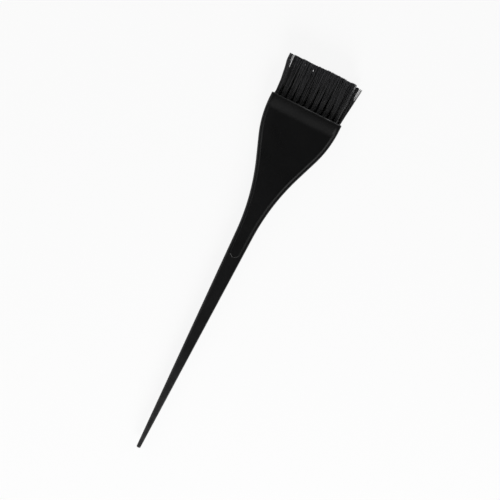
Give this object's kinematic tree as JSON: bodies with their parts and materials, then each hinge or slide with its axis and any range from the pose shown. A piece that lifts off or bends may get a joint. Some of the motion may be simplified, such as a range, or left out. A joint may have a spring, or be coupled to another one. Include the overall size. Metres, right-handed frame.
{
  "type": "tint brush",
  "caption": "Flat tint brush with a wide head, sunken panels in both faces, a long tapering tail handle and a short straight-cut block of bristle tufts held by wire anchors.",
  "frame": {"origin": "under the middle of the brush, on the plane of the collar's rear face, with the brush lying on its back", "axes": "+X across the head, +Y from the tip of the tail to the tips of the bristles, +Z out of the front face"},
  "size_m": [0.0408, 0.21, 0.0078],
  "materials": {
    "handle": "black polypropylene moulding, satin",
    "bristle": "black nylon filament, satin",
    "anchor": "flat steel wire, plain"
  },
  "bodies": {
    "root": {"handle": "handle", "tuft_front_01": "bristle", "tuft_front_02": "bristle", "tuft_front_03": "bristle", "tuft_front_04": "bristle", "tuft_front_05": "bristle", "tuft_front_06": "bristle", "tuft_front_07": "bristle", "tuft_front_08": "bristle", "tuft_front_09": "bristle", "tuft_front_10": "bristle", "tuft_front_11": "bristle", "tuft_rear_01": "bristle", "tuft_rear_02": "bristle", "tuft_rear_03": "bristle", "tuft_rear_04": "bristle", "tuft_rear_05": "bristle", "tuft_rear_06": "bristle", "tuft_rear_07": "bristle", "tuft_rear_08": "bristle", "tuft_rear_09": "bristle", "tuft_rear_10": "bristle", "tuft_rear_11": "bristle", "anchor_front_01": "anchor", "anchor_front_02": "anchor", "anchor_front_03": "anchor", "anchor_front_04": "anchor", "anchor_front_05": "anchor", "anchor_front_06": "anchor", "anchor_front_07": "anchor", "anchor_front_08": "anchor", "anchor_front_09": "anchor", "anchor_front_10": "anchor", "anchor_front_11": "anchor", "anchor_rear_01": "anchor", "anchor_rear_02": "anchor", "anchor_rear_03": "anchor", "anchor_rear_04": "anchor", "anchor_rear_05": "anchor", "anchor_rear_06": "anchor", "anchor_rear_07": "anchor", "anchor_rear_08": "anchor", "anchor_rear_09": "anchor", "anchor_rear_10": "anchor", "anchor_rear_11": "anchor"}
  },
  "joints": []
}
